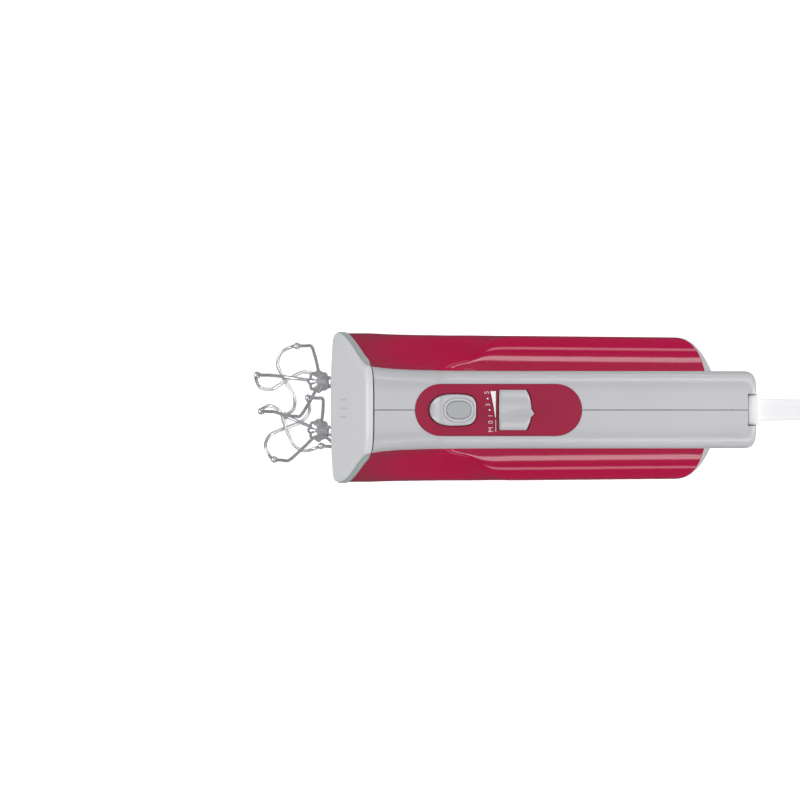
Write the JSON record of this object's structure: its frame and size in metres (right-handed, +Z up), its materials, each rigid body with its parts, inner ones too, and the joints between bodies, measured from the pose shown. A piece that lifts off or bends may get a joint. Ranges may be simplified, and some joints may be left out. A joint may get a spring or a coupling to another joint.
{
  "type": "hand mixer",
  "caption": "Electric hand mixer with an open-ended grip, speed drum, eject button and a pair of wire whisks that spin in opposite directions.",
  "frame": {"origin": "middle of the grip's section, where the hand holds the mixer", "axes": "+X from the nose towards the grip's rear end and the cord, +Z up out of the grip's top, +Y to the right as the user holds it; the whisks point down and lean forwards"},
  "size_m": [0.4378, 0.1156, 0.2953],
  "materials": {
    "body_red": "deep crimson high-gloss moulding",
    "grip_silver": "satin silver-grey lacquered moulding",
    "nose_grey": "smooth pale grey moulding",
    "rim_grey": "soft mid-grey moulding",
    "panel_red": "fine-grained dark crimson moulding",
    "plate_foil": "blank brushed plate",
    "zinc": "die-cast light alloy",
    "bronze": "sintered bronze and brass",
    "lamination": "stacked electrical sheet",
    "copper": "enamelled copper wire and segments",
    "nylon": "natural nylon",
    "black_plastic": "glass-filled black moulding",
    "carbon": "pressed carbon",
    "steel": "ground steel",
    "whisk_steel": "polished stainless steel",
    "cord_white": "white flexible plastic",
    "tie_black": "soft plastic-coated tie"
  },
  "bodies": {
    "housing": {"right_body_shell": "body_red", "left_body_shell": "body_red", "right_handle_half": "grip_silver", "left_handle_half": "grip_silver", "nose_cover": "nose_grey", "nose_rim": "rim_grey", "rear_vent_cover": "grip_silver", "control_panel": "panel_red", "rating_plate": "plate_foil", "gear_frame": "zinc", "left_lower_bush": "bronze", "right_lower_bush": "bronze", "left_upper_bush": "bronze", "right_upper_bush": "bronze", "front_bearing": "bronze", "motor_stator": "lamination", "upper_field_coil": "copper", "lower_field_coil": "copper", "rear_motor_bracket": "black_plastic", "rear_bearing": "bronze", "left_brush_holder": "bronze", "right_brush_holder": "bronze", "left_carbon_brush": "carbon", "right_carbon_brush": "carbon", "speed_switch": "black_plastic", "speed_knob_pin": "steel", "handle_lead": "cord_white", "strain_relief": "cord_white", "power_cord": "cord_white", "cord_coil": "cord_white", "cord_tie": "tie_black", "plug": "cord_white", "body_screw_front": "steel", "body_screw_rear": "steel", "handle_screw_front": "steel", "handle_screw_rear": "steel", "eject_spring": "steel"},
    "armature": {"armature_shaft": "steel", "armature_core": "lamination", "front_armature_winding": "copper", "rear_armature_winding": "copper", "commutator": "copper", "cooling_fan": "black_plastic"},
    "right_drive": {"right_spindle": "steel", "right_worm_wheel": "nylon"},
    "left_drive": {"left_spindle": "steel", "left_worm_wheel": "nylon"},
    "right_whisk": {"right_whisk_shaft": "whisk_steel", "right_whisk_hub": "whisk_steel", "right_whisk_loop_a": "whisk_steel", "right_whisk_loop_b": "whisk_steel"},
    "left_whisk": {"left_whisk_shaft": "whisk_steel", "left_whisk_hub": "whisk_steel", "left_whisk_loop_a": "whisk_steel", "left_whisk_loop_b": "whisk_steel"},
    "ejector": {"eject_button": "grip_silver", "eject_button_pad": "rim_grey", "ejector_frame": "nylon"},
    "speed_drum": {"speed_knob": "grip_silver"}
  },
  "joints": [
    {"name": "motor_spin", "type": "hinge", "parent": "housing", "child": "armature", "pos_m": [-0.11488, 0, -0.06972], "axis": [0.9681, 0, -0.2504], "continuous": true},
    {"name": "right_spindle_spin", "type": "hinge", "parent": "housing", "child": "right_drive", "pos_m": [-0.1284, 0.0135, -0.122], "axis": [0.2504, 0, 0.9681], "continuous": true},
    {"name": "left_spindle_spin", "type": "hinge", "parent": "housing", "child": "left_drive", "pos_m": [-0.1284, -0.0135, -0.122], "axis": [0.2504, 0, 0.9681], "continuous": true},
    {"name": "eject_press", "type": "slide", "parent": "housing", "child": "ejector", "axis": [0, 0, -1], "range_m": [0, 0.007], "stiffness_N_per_m": 1500, "springref_m": -0.002, "deforming": ["eject_spring"]},
    {"name": "right_whisk_eject", "type": "slide", "parent": "right_drive", "child": "right_whisk", "axis": [-0.2504, 0, -0.9681], "range_m": [0, 0.007]},
    {"name": "left_whisk_eject", "type": "slide", "parent": "left_drive", "child": "left_whisk", "axis": [-0.2504, 0, -0.9681], "range_m": [0, 0.007]},
    {"name": "speed_turn", "type": "hinge", "parent": "housing", "child": "speed_drum", "pos_m": [0, 0, 0.0034], "axis": [-1, 0, 0], "range_deg": [-31, 41]}
  ],
  "couplings": [
    {"joint": "right_spindle_spin", "follows": "motor_spin", "ratio": -0.0625},
    {"joint": "left_spindle_spin", "follows": "motor_spin", "ratio": 0.0625},
    {"joint": "right_whisk_eject", "follows": "eject_press", "ratio": 1},
    {"joint": "left_whisk_eject", "follows": "eject_press", "ratio": 1}
  ]
}
